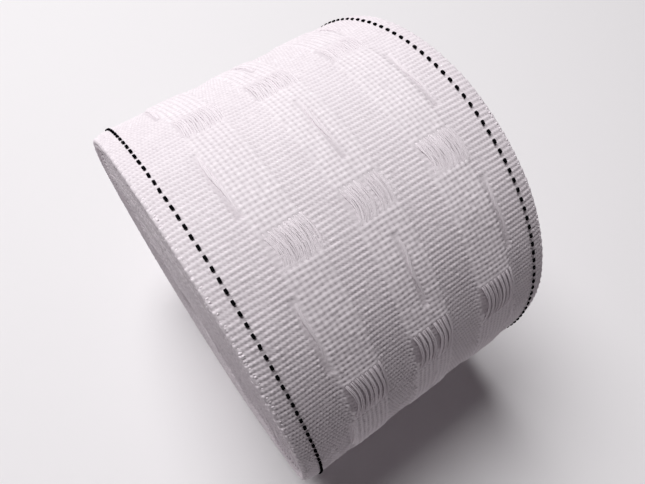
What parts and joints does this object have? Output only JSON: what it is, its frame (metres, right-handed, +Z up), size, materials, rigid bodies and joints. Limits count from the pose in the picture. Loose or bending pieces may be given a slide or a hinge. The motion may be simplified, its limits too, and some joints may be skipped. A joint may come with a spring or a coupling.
{
  "type": "roll of curtain heading tape",
  "caption": "Coreless roll of white woven curtain heading tape with raised hook pockets, woven-in draw cords and a dashed dark marker line near each selvedge.",
  "frame": {"origin": "on the flat spot that the roll rests on, under the middle of the roll", "axes": "+X along the axis of the roll, toward the end that is farther away in the picture; +Z up, away from the flat spot"},
  "size_m": [0.0768, 0.1063, 0.1045],
  "materials": {
    "white_tape": "matte woven polyester with a rib across the tape",
    "black_yarn": "matte black marker yarn, woven in"
  },
  "bodies": {
    "root": {"tape_roll": "white_tape"}
  },
  "joints": []
}
